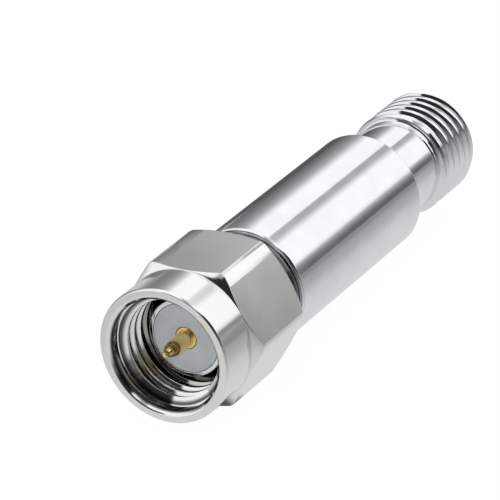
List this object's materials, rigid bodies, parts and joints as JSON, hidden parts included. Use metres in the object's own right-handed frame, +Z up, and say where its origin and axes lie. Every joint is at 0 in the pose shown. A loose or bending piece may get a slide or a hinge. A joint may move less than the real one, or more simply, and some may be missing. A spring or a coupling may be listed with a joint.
{
  "type": "coaxial fixed attenuator",
  "caption": "In-line radio-frequency attenuator: a smooth round metal barrel with a hexagon coupling nut and gold contact pin at one end and a threaded jack at the other.",
  "frame": {"origin": "on the surface it lies on, below the middle of the whole length and on the coaxial axis seen from above", "axes": "+X along the coaxial axis from the plug to the jack, +Z up, with one flat of the coupling nut facing down"},
  "size_m": [0.0318, 0.009, 0.008],
  "materials": {
    "nickel_plate": "polished",
    "gold_plate": "polished",
    "spring_bronze": "satin",
    "fluoropolymer": "satin",
    "alumina": "matte"
  },
  "bodies": {
    "housing": {"plug_shell": "nickel_plate", "plug_insulator": "fluoropolymer", "plug_pin": "gold_plate", "barrel": "nickel_plate", "upper_clamp": "gold_plate", "lower_clamp": "gold_plate", "attenuator_chip": "alumina", "jack_shell": "nickel_plate", "jack_insulator": "fluoropolymer", "jack_socket": "gold_plate"},
    "ring": {"retaining_ring": "spring_bronze"},
    "nut": {"coupling_nut": "nickel_plate"}
  },
  "joints": [
    {"name": "nut_float", "type": "slide", "parent": "housing", "child": "ring", "axis": [1, 0, 0], "range_m": [-0.00015, 0.00015]},
    {"name": "nut_spin", "type": "hinge", "parent": "ring", "child": "nut", "pos_m": [-0.01075, 0, 0.004], "axis": [1, 0, 0], "continuous": true}
  ]
}
